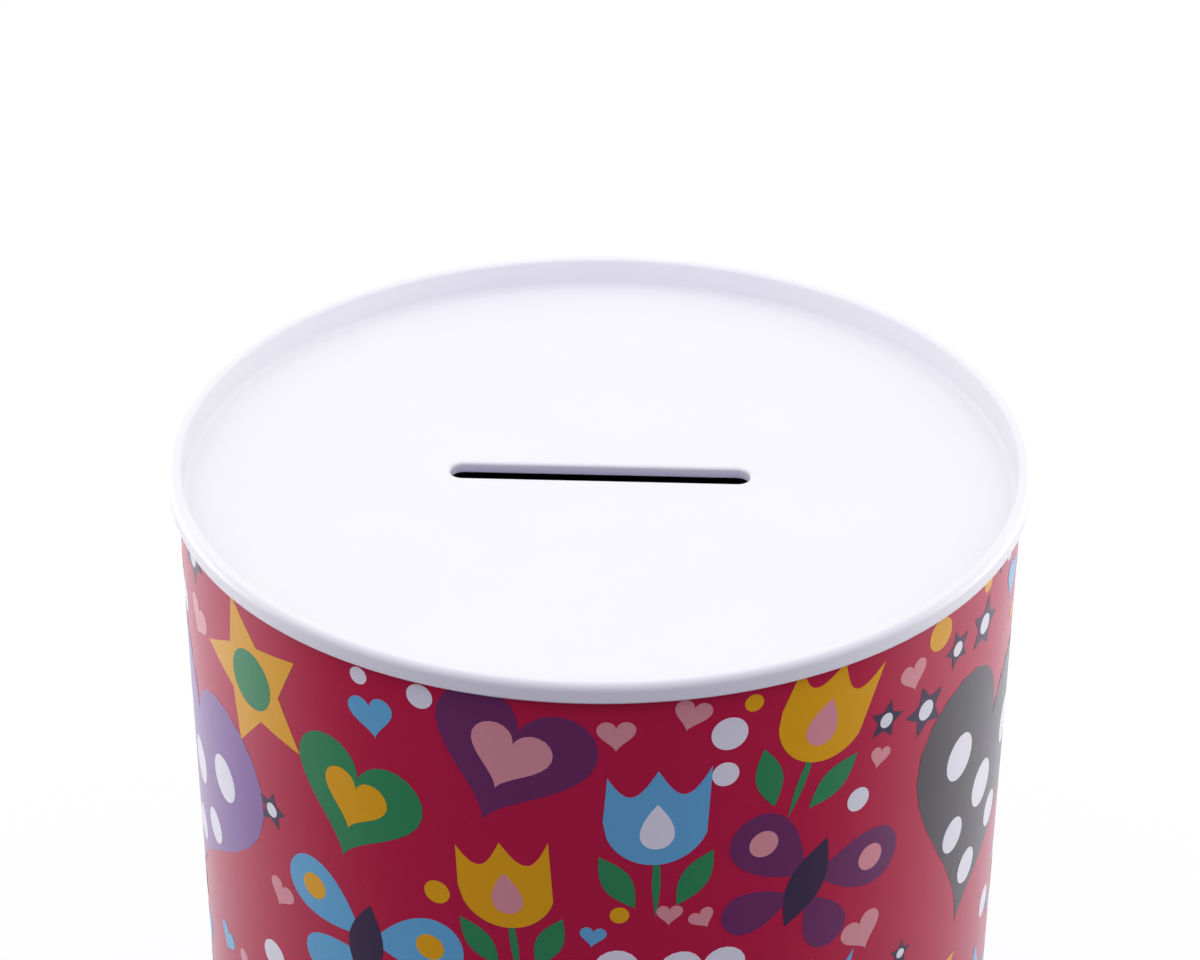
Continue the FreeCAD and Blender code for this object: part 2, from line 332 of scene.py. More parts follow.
def turned_ring(name, section):
    """Turns a closed section of radii and heights once round the can's axis."""
    ring = bmesh.new()
    corners = [ring.verts.new((radius, 0, height)) for radius, height in section]
    sides = [ring.edges.new((corners[number - 1], corner)) for number, corner in enumerate(corners)]
    bmesh.ops.spin(
        ring,
        geom=corners + sides,
        cent=(0, 0, 0),
        axis=(0, 0, 1),
        angle=2 * math.pi,
        steps=TURN_STEPS,
        use_merge=True,
    )
    return add_object(name, finished_mesh(name, ring))


rim_coat = turned_ring("rim_lacquer", coat_section)
rim_coat.data.materials.append(white_lacquer)
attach(rim_coat, "can")
print("rim coat of", len(rim_coat.data.polygons), "faces")

# %% [markdown]
# Printed tinplate
#
# The wall was printed flat as a sheet, varnished, rolled and welded. Its outside is crimson ink, its inside
# bare tin, and a narrow strip down the back stays unprinted, because ink would spoil the weld. One material
# does all three: the distance from the axis tells inside from outside, and the width about the weld tells
# the bare strip. To the eye the ink is even and deep, and the varnish mirrors softly with slow waves. The
# grain of litho ink is finer than a third of a millimetre, and is drawn as coarse as it needs to show.

# %% Where the wall is printed
WALL_RADIUS = 50.0 * MM
PLATE = 0.2 * MM
BARE_MARGIN_MM = 2.6

printed_wall, tree, place = new_finish("litho_printed_tinplate")
axes = add(tree, "ShaderNodeSeparateXYZ", {"Vector": place})
flat = add(tree, "ShaderNodeCombineXYZ", {"X": axes.outputs["X"], "Y": axes.outputs["Y"]})
radius = add(tree, "ShaderNodeVectorMath", {0: flat.outputs["Vector"]}, operation="LENGTH")
outside = add(
    tree,
    "ShaderNodeMath",
    {0: radius.outputs["Value"], 1: WALL_RADIUS - PLATE / 2},
    operation="GREATER_THAN",
)
beside_weld = add(tree, "ShaderNodeMath", {0: axes.outputs["X"]}, operation="ABSOLUTE")
clear_of_weld = add(
    tree,
    "ShaderNodeMath",
    {0: beside_weld.outputs["Value"], 1: BARE_MARGIN_MM * MM},
    operation="GREATER_THAN",
)
front_half = add(tree, "ShaderNodeMath", {0: axes.outputs["Y"], 1: 0.0}, operation="LESS_THAN")
off_strip = add(
    tree,
    "ShaderNodeMath",
    {0: clear_of_weld.outputs["Value"], 1: front_half.outputs["Value"]},
    operation="MAXIMUM",
)
printed = add(
    tree,
    "ShaderNodeMath",
    {0: outside.outputs["Value"], 1: off_strip.outputs["Value"]},
    operation="MULTIPLY",
)
print("bare strip of", 2 * BARE_MARGIN_MM, "mm down the back")

# %% Printed tinplate
CRIMSON = linear("#C5214A")
CRIMSON_DEEP = linear("#BB1C44")
TIN_LIGHT = linear("#C9C7C4")
TIN_DARK = linear("#B4B2AF")
TIN_ROUGHNESS = 0.32
INK_GRAIN_MM = 0.35
INK_GRAIN_DETAIL = 2.0
VARNISH_ROUGHNESS = 0.2
VARNISH_IOR = 1.5
VARNISH_WAVE_MM = 2.2
VARNISH_DETAIL = 1.0
VARNISH_HEIGHT = 0.003 * MM
VARNISH_STRENGTH = 0.5


def varnish_waves(tree, place):
    """Soft waves that roller-coated varnish keeps, as a bump."""
    wave = add(
        tree,
        "ShaderNodeTexNoise",
        {"Vector": place, "Scale": per_mm(VARNISH_WAVE_MM), "Detail": VARNISH_DETAIL},
    )
    return add(
        tree,
        "ShaderNodeBump",
        {"Height": wave.outputs["Fac"], "Strength": VARNISH_STRENGTH, "Distance": VARNISH_HEIGHT},
    )


grain = add(
    tree,
    "ShaderNodeTexNoise",
    {"Vector": place, "Scale": per_mm(INK_GRAIN_MM), "Detail": INK_GRAIN_DETAIL},
)
ground = add(
    tree,
    "ShaderNodeMix",
    {"Factor": grain.outputs["Fac"], COLOUR_A: CRIMSON_DEEP, COLOUR_B: CRIMSON},
    data_type="RGBA",
)
bare_tin = add(
    tree,
    "ShaderNodeMix",
    {"Factor": grain.outputs["Fac"], COLOUR_A: TIN_DARK, COLOUR_B: TIN_LIGHT},
    data_type="RGBA",
)
surface_colour = add(
    tree,
    "ShaderNodeMix",
    {
        "Factor": printed.outputs["Value"],
        COLOUR_A: bare_tin.outputs[COLOUR_RESULT],
        COLOUR_B: ground.outputs[COLOUR_RESULT],
    },
    data_type="RGBA",
)
metal = add(tree, "ShaderNodeMath", {0: 1.0, 1: printed.outputs["Value"]}, operation="SUBTRACT")
gloss = add(
    tree,
    "ShaderNodeMapRange",
    {"Value": printed.outputs["Value"], "To Min": TIN_ROUGHNESS, "To Max": VARNISH_ROUGHNESS},
)
shader = add(
    tree,
    "ShaderNodeBsdfPrincipled",
    {
        "Base Color": surface_colour.outputs[COLOUR_RESULT],
        "Metallic": metal.outputs["Value"],
        "Roughness": gloss.outputs["Result"],
        "Normal": varnish_waves(tree, place).outputs["Normal"],
        "IOR": VARNISH_IOR,
    },
)
add(tree, "ShaderNodeOutputMaterial", {"Surface": shader.outputs["BSDF"]})
nodes["body_wall"].material_slots[0].material = printed_wall
print("body_wall has", printed_wall.name)

# %% [markdown]
# Bright tinplate
#
# The base is left as it comes from the mill: steel with a flow-brightened coat of tin, rolled one way. The
# rolls leave very fine lines along the strip, so the noise is stretched along X, and they show as a soft
# streak in the gloss more than as colour. Real lines lie closer together than a quarter of a millimetre,
# and are drawn as coarse as they need to show.

# %% Bright tinplate
ROLL_LINE_MM = 0.25
ROLL_DETAIL = 3.0
ROLL_STRETCH = 0.02
ROLL_HEIGHT = 0.002 * MM
ROLL_STRENGTH = 0.5
ROLLED_ROUGHNESS = (0.22, 0.36)

tinplate, tree, place = new_finish("bright_tinplate")
along_roll = add(tree, "ShaderNodeMapping", {"Vector": place, "Scale": (ROLL_STRETCH, 1, 1)})
lines = add(
    tree,
    "ShaderNodeTexNoise",
    {"Vector": along_roll.outputs["Vector"], "Scale": per_mm(ROLL_LINE_MM), "Detail": ROLL_DETAIL},
)
tint = add(
    tree,
    "ShaderNodeMix",
    {"Factor": lines.outputs["Fac"], COLOUR_A: TIN_DARK, COLOUR_B: TIN_LIGHT},
    data_type="RGBA",
)
gloss = add(
    tree,
    "ShaderNodeMapRange",
    {"Value": lines.outputs["Fac"], "To Min": ROLLED_ROUGHNESS[0], "To Max": ROLLED_ROUGHNESS[1]},
)
waves = add(
    tree,
    "ShaderNodeBump",
    {"Height": lines.outputs["Fac"], "Strength": ROLL_STRENGTH, "Distance": ROLL_HEIGHT},
)
shader = add(
    tree,
    "ShaderNodeBsdfPrincipled",
    {
        "Base Color": tint.outputs[COLOUR_RESULT],
        "Metallic": 1.0,
        "Roughness": gloss.outputs["Result"],
        "Normal": waves.outputs["Normal"],
    },
)
add(tree, "ShaderNodeOutputMaterial", {"Surface": shader.outputs["BSDF"]})
nodes["bottom_end"].material_slots[0].material = tinplate
print("bottom_end has", tinplate.name)

# %% [markdown]
# Soft plastic
#
# The stopper is moulded from low-density polyethylene, a waxy plastic that scuffs easily. The mould was
# spark-eroded, which leaves a fine even grain of about a third of a millimetre, so the black looks dull,
# with paler and rougher clouds where it has been handled.

# %% Soft plastic
LDPE_BLACK = linear("#26262A")
LDPE_SCUFFED = linear("#34343A")
LDPE_ROUGHNESS = (0.42, 0.58)
LDPE_IOR = 1.51
SPARK_GRAIN_MM = 0.35
SPARK_DETAIL = 1.0
SPARK_HEIGHT = 0.012 * MM
SPARK_STRENGTH = 0.5
SCUFF_MM = 6
SCUFF_DETAIL = 4.0

soft_plastic, tree, place = new_finish("moulded_ldpe")
grain = add(
    tree,
    "ShaderNodeTexNoise",
    {"Vector": place, "Scale": per_mm(SPARK_GRAIN_MM), "Detail": SPARK_DETAIL},
)
scuffs = add(
    tree,
    "ShaderNodeTexNoise",
    {"Vector": place, "Scale": per_mm(SCUFF_MM), "Detail": SCUFF_DETAIL},
)
tint = add(
    tree,
    "ShaderNodeMix",
    {"Factor": scuffs.outputs["Fac"], COLOUR_A: LDPE_BLACK, COLOUR_B: LDPE_SCUFFED},
    data_type="RGBA",
)
gloss = add(
    tree,
    "ShaderNodeMapRange",
    {"Value": scuffs.outputs["Fac"], "To Min": LDPE_ROUGHNESS[0], "To Max": LDPE_ROUGHNESS[1]},
)
waves = add(
    tree,
    "ShaderNodeBump",
    {"Height": grain.outputs["Fac"], "Strength": SPARK_STRENGTH, "Distance": SPARK_HEIGHT},
)
shader = add(
    tree,
    "ShaderNodeBsdfPrincipled",
    {
        "Base Color": tint.outputs[COLOUR_RESULT],
        "Roughness": gloss.outputs["Result"],
        "Normal": waves.outputs["Normal"],
        "IOR": LDPE_IOR,
    },
)
add(tree, "ShaderNodeOutputMaterial", {"Surface": shader.outputs["BSDF"]})
nodes["base_stopper"].material_slots[0].material = soft_plastic
print("base_stopper has", soft_plastic.name)

# %% [markdown]
# Printing inks
#
# Every flat colour of the print is one ink, laid on the crimson under the same varnish. An ink film could
# be drawn inside the wall's material, but each shape would then need its own formula in nodes. Here each
# ink is a thin film of real geometry instead, a few hundredths of a millimetre thick, so its edge stays
# sharp at any distance.

# %% Printing inks
INKS = {
    "yellow": "#EFAF1D",
    "green": "#37905C",
    "plum": "#743467",
    "rose": "#E69BA2",
    "sky": "#6BB4DD",
    "white": "#F0EFF5",
    "navy": "#42344F",
    "charcoal": "#4B494B",
    "orchid": "#DFA0C4",
    "lilac": "#8F6AA8",
}
INK_DEPTH = 0.94


def printing_ink(name, hex_colour):
    """A flat ink with faint grain, under the same varnish as the ground."""
    finish, tree, place = new_finish(f"litho_ink_{name}")
    grain = add(
        tree,
        "ShaderNodeTexNoise",
        {"Vector": place, "Scale": per_mm(INK_GRAIN_MM), "Detail": INK_GRAIN_DETAIL},
    )
    full = linear(hex_colour)
    deep = (*(channel * INK_DEPTH for channel in full[:3]), 1)
    tint = add(
        tree,
        "ShaderNodeMix",
        {"Factor": grain.outputs["Fac"], COLOUR_A: deep, COLOUR_B: full},
        data_type="RGBA",
    )
    shader = add(
        tree,
        "ShaderNodeBsdfPrincipled",
        {
            "Base Color": tint.outputs[COLOUR_RESULT],
            "Roughness": VARNISH_ROUGHNESS,
            "Normal": varnish_waves(tree, place).outputs["Normal"],
            "IOR": VARNISH_IOR,
        },
    )
    add(tree, "ShaderNodeOutputMaterial", {"Surface": shader.outputs["BSDF"]})
    return finish


ink_finishes = {name: printing_ink(name, colour) for name, colour in INKS.items()}
print(len(ink_finishes), "inks mixed")

# %% [markdown]
# Outlines of the print
#
# The design is a tossed print of tulips, hearts, stars and butterflies. Each shape is an outline about one
# unit wide, made by a formula, so that it can be printed at any size.

# %% Outlines, one unit wide
ROUND_STEPS = 40
EDGE_STEPS = 14
HEART_WIDTH = 32
HEART_MIDDLE = 2.5
DROP_FATNESS = 0.42
LEAF_WIDTH = 0.4
STEM_WIDTH = 0.1
STAR_POINTS = 5
STAR_HOLLOW = 0.5
TULIP_EDGE = 0.27
TULIP_PETAL = 0.28


def round_outline(point_at):
    """Points of a closed curve whose parameter runs once round the circle."""
    return [point_at(2 * math.pi * step / ROUND_STEPS) for step in range(ROUND_STEPS)]


def disc_point(turn):
    """A circle."""
    return (math.cos(turn) / 2, math.sin(turn) / 2)


def heart_point(turn):
    """The well-known heart of sines and cosines, moved so that it turns about its middle."""
    across = 16 * math.sin(turn) ** 3
    upward = 13 * math.cos(turn) - 5 * math.cos(2 * turn) - 2 * math.cos(3 * turn) - math.cos(4 * turn)
    return (-across / HEART_WIDTH, (upward + HEART_MIDDLE) / HEART_WIDTH)


def drop_point(turn):
    """A teardrop with its point to the right."""
    return (math.cos(turn) / 2, DROP_FATNESS * math.sin(turn) * math.sin(turn / 2))


def blade_outline(width):
    """A leaf pointed at both ends, lying along X."""
    steps = [step / EDGE_STEPS for step in range(EDGE_STEPS)]
    lower = [(part - 0.5, -width / 2 * math.sin(math.pi * part)) for part in steps]
    return lower + [(-x, -y) for x, y in lower]


def star_outline(points, hollow):
    """A star with its first point upwards and its hollows at this share of its radius."""
    corners = []
    for corner in range(2 * points):
        reach = 0.5 if corner % 2 == 0 else 0.5 * hollow
        turn = math.pi / 2 + math.pi * corner / points
        corners.append((reach * math.cos(turn), reach * math.sin(turn)))
    return corners


def tulip_outline():
    """A cup with three pointed petals."""
    spots = [step / (2 * EDGE_STEPS) - 0.5 for step in range(2 * EDGE_STEPS)]
    bowl = [(x, -0.5 * math.sqrt(1 - 4 * x * x)) for x in spots]
    petals = [(-x, TULIP_EDGE + TULIP_PETAL * (1 - abs(math.sin(2 * math.pi * x)))) for x in spots]
    return bowl + petals


OUTLINES = {
    "disc": round_outline(disc_point),
    "heart": round_outline(heart_point),
    "drop": round_outline(drop_point),
    "leaf": blade_outline(LEAF_WIDTH),
    "stem": blade_outline(STEM_WIDTH),
    "star": star_outline(STAR_POINTS, STAR_HOLLOW),
    "tulip": tulip_outline(),
}
print("outlines:", ", ".join(OUTLINES))

# %% [markdown]
# Motifs
#
# A motif is a few outlines stacked in ink. Each line below names an outline, its ink, the layer it is
# printed on, its size, its place in the motif in millimetres and its turn in degrees. Main and second are
# the two inks that a motif is given when it is placed.

# %% Motifs
MOTIFS = {
    "tulip": (
        ("stem", "green", 0, 9, 0, -5.0, 90),
        ("leaf", "green", 0, 7.5, -4.0, -5.0, 120),
        ("leaf", "green", 0, 7.5, 4.0, -5.0, 60),
        ("tulip", "main", 1, 11, 0, 2.6, 0),
        ("drop", "second", 2, 5.5, 0, 1.8, 90),
    ),
    "twin_hearts": (
        ("heart", "main", 0, 9.4, -4.8, 1.0, 17),
        ("heart", "main", 0, 9.4, 5.0, -1.0, -15),
    ),
    "star": (
        ("star", "main", 0, 19, 0, 0, 0),
        ("disc", "second", 1, 7, 0, 0, 0),
    ),
    "heart": (
        ("heart", "main", 0, 17, 0, 0, 0),
        ("heart", "second", 1, 8.5, 0, 0.5, 0),
    ),
    "butterfly": (
        ("drop", "main", 0, 11, -5.8, 3.0, -22),
        ("drop", "main", 0, 11, 5.8, 3.0, 202),
        ("drop", "main", 0, 8, -4.2, -4.0, 38),
        ("drop", "main", 0, 8, 4.2, -4.0, 142),
        ("leaf", "navy", 1, 11, 0, 0, 90),
        ("disc", "second", 1, 3.2, -7.4, 3.6, 0),
        ("disc", "second", 1, 3.2, 7.4, 3.6, 0),
    ),
    "small_heart": (("heart", "main", 0, 5, 0, 0, 0),),
    "small_star": (
        ("star", "main", 0, 6, 0, 0, 0),
        ("disc", "second", 1, 2.2, 0, 0, 0),
    ),
    "dot": (("disc", "main", 0, 3.6, 0, 0, 0),),
    "great_heart": (
        ("heart", "main", 0, 38, 0, 0, 0),
        ("disc", "second", 1, 6, -9.5, 6, 0),
        ("disc", "second", 1, 6, 9.5, 6, 0),
        ("disc", "second", 1, 6, 0, 0.5, 0),
        ("disc", "second", 1, 4.6, -6.5, -4.5, 0),
        ("disc", "second", 1, 4.6, 6.5, -4.5, 0),
        ("disc", "second", 1, 4.6, 0, -10, 0),
    ),
}

# Motifs in the order in which they follow each other round the can: name, main ink, second ink
LARGE_ORDER = (
    ("tulip", "yellow", "rose"),
    ("twin_hearts", "white", "white"),
    ("star", "green", "yellow"),
    ("heart", "plum", "rose"),
    ("butterfly", "sky", "yellow"),
    ("tulip", "sky", "white"),
    ("star", "yellow", "green"),
    ("twin_hearts", "white", "white"),
    ("butterfly", "plum", "rose"),
    ("heart", "green", "yellow"),
    ("star", "sky", "navy"),
)
SMALL_ORDER = (
    ("small_star", "navy", "white"),
    ("small_heart", "sky", "sky"),
    ("dot", "white", "white"),
    ("small_heart", "rose", "rose"),
    ("dot", "yellow", "yellow"),
)
# Great hearts: place round the can from the front and height, both in millimetres, and ink
GREAT_HEARTS = (
    (-62, 84, "lilac"),
    (58, 86, "charcoal"),
    (-20, 44, "orchid"),
    (92, 96, "orchid"),
    (30, 30, "charcoal"),
    (-108, 62, "charcoal"),
    (132, 58, "lilac"),
)
print(len(MOTIFS), "motifs")

# %% [markdown]
# Layout
#
# The print is laid out flat, as on the sheet, in millimetres: u runs round the can from the front, v up the
# wall. Large motifs start from a half-drop grid, an old trick of pattern makers, in which every other column
# is shifted by half a step. Each is leaned a little and pressed only where the circles about its parts keep
# clear of those that are there; where one doesn't fit, the next in order is tried. Small motifs are then
# tossed into the gaps that are left. A point or a lobe can reach past its circle, so a few motifs touch.

# %% Rules of the layout
LAYOUT_SEED = 7
LEAN_DEGREES = 26
INK_GAP = 0.9
PRINT_FOOT = 1.2
PRINT_TOP = can_height / MM - PRINT_FOOT
# Share of an outline's size at which a circle about its middle covers most of it
REACH = {"disc": 0.5, "heart": 0.5, "drop": 0.42, "leaf": 0.3, "stem": 0.25, "star": 0.44, "tulip": 0.52}

half_round = math.pi * WALL_RADIUS / MM
disorder = random.Random(LAYOUT_SEED)
placed = []
ink_circles = []


def motif_parts(motif, main, second, u, v, lean, growth):
    """Outline, ink, layer, size, place and turn of every part of a motif on the sheet."""
    swing = math.radians(lean)
    for outline, ink, layer, size, x, y, turn in MOTIFS[motif]:
        ink = {"main": main, "second": second}.get(ink, ink)
        part_u = u + growth * (x * math.cos(swing) - y * math.sin(swing))
        part_v = v + growth * (x * math.sin(swing) + y * math.cos(swing))
        yield outline, ink, layer, size, part_u, part_v, turn + lean


def has_room(circles):
    """Whether circles stay on the printed sheet and clear of those that are pressed already."""
    for u, v, reach in circles:
        if abs(u) + reach > half_round - BARE_MARGIN_MM:
            return False
        if not PRINT_FOOT + reach < v < PRINT_TOP - reach:
            return False
        for other_u, other_v, other_reach in ink_circles:
            if math.hypot(u - other_u, v - other_v) < reach + other_reach + INK_GAP:
                return False
    return True


def press(choice, u, v, growths):
    """Presses a motif at the first of these growths that has room, and tells whether one had."""
    lean = disorder.uniform(-LEAN_DEGREES, LEAN_DEGREES)
    for growth in growths:
        parts = motif_parts(*choice, u, v, lean, growth)
        circles = [
            (part_u, part_v, REACH[outline] * size * growth)
            for outline, _, _, size, part_u, part_v, _ in parts
        ]
        if has_room(circles):
            ink_circles.extend(circles)
            placed.append((*choice, u, v, lean, growth))
            return True
    return False


print("sheet of", round(2 * half_round, 1), "by", round(can_height / MM, 1), "mm")

# %% Lay out the sheet
COLUMNS = 18
ROWS = 6
ROW_STEP = 19.4
FIRST_ROW = 11.0
JITTER = 0.9
COLUMN_SHIFT = 4
ROW_SHIFT = 3
SMALL_TOSSES = 2600
GREAT_GROWTHS = (1.0,)
LARGE_GROWTHS = (1.08, 1.0, 0.92)
SMALL_GROWTHS = (1.15, 0.85, 0.6)

column_step = 2 * half_round / COLUMNS
for great_u, great_v, ink in GREAT_HEARTS:
    press(("great_heart", ink, "white"), great_u, great_v, GREAT_GROWTHS)
for column in range(COLUMNS):
    for row in range(ROWS):
        u = (column + 0.5) * column_step - half_round + disorder.uniform(-JITTER, JITTER)
        v = FIRST_ROW + (row + 0.5 * (column % 2)) * ROW_STEP + disorder.uniform(-JITTER, JITTER)
        first = COLUMN_SHIFT * column + ROW_SHIFT * row
        for turn in range(first, first + len(LARGE_ORDER)):
            if press(LARGE_ORDER[turn % len(LARGE_ORDER)], u, v, LARGE_GROWTHS):
                break
large_count = len(placed)
for toss in range(SMALL_TOSSES):
    u = disorder.uniform(-half_round, half_round)
    v = disorder.uniform(PRINT_FOOT, PRINT_TOP)
    press(SMALL_ORDER[toss % len(SMALL_ORDER)], u, v, SMALL_GROWTHS)
print(large_count, "large motifs and", len(placed) - large_count, "small ones")

# %% [markdown]
# Printing plates
#
# A plate is one outline at one size, as a thin closed slab. It has to bend round the can later, so it is
# cut into small squares first: a flat face a millimetre wide leaves the round wall by only a few microns.

# %% Printing plates
CUT_MM = 1.2
SLAB = 1 * MM
plates = bpy.data.collections.new("printing_plates")
plate_numbers = {}


def make_plate(outline, size):
    """Cuts one outline into small squares and gives it a floor, a top and sides."""
    slab = bmesh.new()
    slab.faces.new([slab.verts.new((x * size * MM, y * size * MM, 0)) for x, y in OUTLINES[outline]])
    cuts = math.ceil(size / CUT_MM / 2)
    for axis in (Vector((1, 0, 0)), Vector((0, 1, 0))):
        for step in range(-cuts, cuts + 1):
            everything = slab.verts[:] + slab.edges[:] + slab.faces[:]
            bmesh.ops.bisect_plane(slab, geom=everything, plane_co=axis * step * CUT_MM * MM, plane_no=axis)
    bmesh.ops.solidify(slab, geom=slab.faces[:], thickness=SLAB)
    lowest = min(vert.co.z for vert in slab.verts)
    bmesh.ops.translate(slab, verts=slab.verts[:], vec=(0, 0, -lowest))
    return finished_mesh(f"plate_{outline}", slab)


def plate_number(outline, size):
    """Number of the plate of this outline and size, made when it is first needed."""
    key = (outline, size)
    if key not in plate_numbers:
        number = len(plate_numbers)
        plate = bpy.data.objects.new(f"plate_{number:03d}_{outline}", make_plate(outline, size))
        plates.objects.link(plate)
        plate_numbers[key] = number
    return plate_numbers[key]


Impression = namedtuple("Impression", "u v plate turn growth layer")
impressions = {name: [] for name in INKS}
for motif in placed:
    growth = motif[-1]
    for outline, ink, layer, size, u, v, turn in motif_parts(*motif):
        plate = plate_number(outline, size)
        impressions[ink].append(Impression(u, v, plate, math.radians(turn), growth, layer))
print(len(plate_numbers), "plates,", sum(map(len, impressions.values())), "impressions")

# %% [markdown]
# Rolling the print onto the wall
#
# Geometry Nodes press each plate where its points are and then roll the whole flat sheet round the can: u
# becomes an angle, v stays the height, and the slab's thickness becomes the film, from just inside the wall
# to a few hundredths of a millimetre proud. Later layers stand a little higher, so they cover earlier ones.

# %% Rolling tree: press the plates on the flat sheet
ROLLER_INPUTS = {
    "Impressions": "NodeSocketGeometry",
    "Plates": "NodeSocketCollection",
    "Wall radius": "NodeSocketFloat",
    "Film root": "NodeSocketFloat",
    "First lift": "NodeSocketFloat",
    "Layer lift": "NodeSocketFloat",
    "Ink": "NodeSocketMaterial",
}
ATTRIBUTES = {"plate": "INT", "turn": "FLOAT", "growth": "FLOAT", "layer": "FLOAT"}

roller = bpy.data.node_groups.new("roll_print_onto_can", "GeometryNodeTree")
for name, kind in ROLLER_INPUTS.items():
    roller.interface.new_socket(name, in_out="INPUT", socket_type=kind)
roller.interface.new_socket("Film", in_out="OUTPUT", socket_type="NodeSocketGeometry")
given = add(roller, "NodeGroupInput").outputs
stack = add(
    roller,
    "GeometryNodeCollectionInfo",
    {"Collection": given["Plates"], "Separate Children": True, "Reset Children": True},
)
stored = {}
for name, kind in ATTRIBUTES.items():
    reader = add(roller, "GeometryNodeInputNamedAttribute", {"Name": name}, data_type=kind)
    stored[name] = reader.outputs["Attribute"]
turned = add(roller, "ShaderNodeCombineXYZ", {"Z": stored["turn"]})
spin = add(roller, "FunctionNodeEulerToRotation", {"Euler": turned.outputs["Vector"]})
grown = add(roller, "ShaderNodeCombineXYZ", {"X": stored["growth"], "Y": stored["growth"], "Z": 1.0})
pressed = add(
    roller,
    "GeometryNodeInstanceOnPoints",
    {
        "Points": given["Impressions"],
        "Instance": stack.outputs["Instances"],
        "Pick Instance": True,
        "Instance Index": stored["plate"],
        "Rotation": spin.outputs["Rotation"],
        "Scale": grown.outputs["Vector"],
    },
)
sheet = add(roller, "GeometryNodeRealizeInstances", {"Geometry": pressed.outputs["Instances"]})
print(len(ROLLER_INPUTS), "inputs of the rolling tree")

# %% Rolling tree: bend the sheet round the can
spot = add(roller, "ShaderNodeSeparateXYZ", {"Vector": add(roller, "GeometryNodeInputPosition").outputs[0]})
angle = add(roller, "ShaderNodeMath", {0: spot.outputs["X"], 1: given["Wall radius"]}, operation="DIVIDE")
share = add(roller, "ShaderNodeMath", {0: spot.outputs["Z"], 1: SLAB}, operation="DIVIDE")
lift = add(
    roller,
    "ShaderNodeMath",
    {0: stored["layer"], 1: given["Layer lift"], 2: given["First lift"]},
    operation="MULTIPLY_ADD",
)
thick = add(roller, "ShaderNodeMath", {0: lift.outputs[0], 1: given["Film root"]}, operation="ADD")
root = add(roller, "ShaderNodeMath", {0: given["Wall radius"], 1: given["Film root"]}, operation="SUBTRACT")
reach = add(
    roller,
    "ShaderNodeMath",
    {0: share.outputs[0], 1: thick.outputs[0], 2: root.outputs[0]},
    operation="MULTIPLY_ADD",
)
sine = add(roller, "ShaderNodeMath", {0: angle.outputs[0]}, operation="SINE")
cosine = add(roller, "ShaderNodeMath", {0: angle.outputs[0]}, operation="COSINE")
right = add(roller, "ShaderNodeMath", {0: reach.outputs[0], 1: sine.outputs[0]}, operation="MULTIPLY")
front = add(roller, "ShaderNodeMath", {0: reach.outputs[0], 1: cosine.outputs[0]}, operation="MULTIPLY")
along_y = add(roller, "ShaderNodeMath", {0: front.outputs[0], 1: -1.0}, operation="MULTIPLY")
on_wall = add(
    roller,
    "ShaderNodeCombineXYZ",
    {"X": right.outputs[0], "Y": along_y.outputs[0], "Z": spot.outputs["Y"]},
)
rolled = add(
    roller,
    "GeometryNodeSetPosition",
    {"Geometry": sheet.outputs["Geometry"], "Position": on_wall.outputs["Vector"]},
)
coloured = add(
    roller,
    "GeometryNodeSetMaterial",
    {"Geometry": rolled.outputs["Geometry"], "Material": given["Ink"]},
)
add(roller, "NodeGroupOutput", {"Film": coloured.outputs["Geometry"]})
identifiers = {item.name: item.identifier for item in roller.interface.items_tree}
print(len(roller.nodes), "nodes in the rolling tree")

# %% Press and roll each ink
FILM_ROOT = 0.03 * MM
FIRST_LIFT = 0.014 * MM
LAYER_LIFT = 0.009 * MM


def press_bed(name, ink_impressions):
    """Points of one ink's impressions on the flat sheet, with what the rolling tree reads from them."""
    points = bpy.data.meshes.new(f"impressions_{name}")
    points.from_pydata([(one.u * MM, one.v * MM, 0) for one in ink_impressions], [], [])
    for attribute, kind in ATTRIBUTES.items():
        column = points.attributes.new(attribute, kind, "POINT")
        column.data.foreach_set("value", [getattr(one, attribute) for one in ink_impressions])
    return add_object(f"press_{name}", points)


def press_ink(name, ink_impressions):
    """Rolls every impression of one ink onto the wall and keeps it as a plain mesh."""
    bed = press_bed(name, ink_impressions)
    rolling = bed.modifiers.new("rolling", "NODES")
    rolling.node_group = roller
    settings = {
        "Plates": plates,
        "Wall radius": WALL_RADIUS,
        "Film root": FILM_ROOT,
        "First lift": FIRST_LIFT,
        "Layer lift": LAYER_LIFT,
        "Ink": ink_finishes[name],
    }
    for socket, setting in settings.items():
        rolling[identifiers[socket]] = setting
    graph = bpy.context.evaluated_depsgraph_get()
    film_mesh = bpy.data.meshes.new_from_object(bed.evaluated_get(graph), depsgraph=graph)
    bpy.data.objects.remove(bed)
    for attribute in ATTRIBUTES:
        if attribute in film_mesh.attributes:
            film_mesh.attributes.remove(film_mesh.attributes[attribute])
    film = add_object(f"print_{name}", film_mesh)
    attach(film, "can")
    return film


films = [press_ink(name, ink_impressions) for name, ink_impressions in impressions.items()]
for plate in list(plates.objects):
    bpy.data.objects.remove(plate)
bpy.data.collections.remove(plates)
print(sum(len(film.data.polygons) for film in films), "faces of print on", len(films), "films")

# %% [markdown]
# Floor, world and light
#
# The can stands in a product booth, lit from overhead and from both flanks. The side of the camera is
# dimmer and a little blue, so the front of the seam is in soft shade. Seen by the camera the floor is white
# sweep paper all over: it glows for most of what the camera sees, and the rest is the light that falls on
# it, which keeps the shadow. For the light it is paper only beside and behind the can, with a dark table in
# front: the front wall mirrors the table, which keeps the colours of the print deep in the middle, and the
# flanks mirror the paper, which lays a pale sheen on both sides. Two strips of light far out on the paper
# reach the wall of the can from below its rim and leave the recess of the top alone. The world is plain
# white for the camera and in every gloss, and the booth's soft light for all else.

# %% Floor
FLOOR_SIZE = 6.0

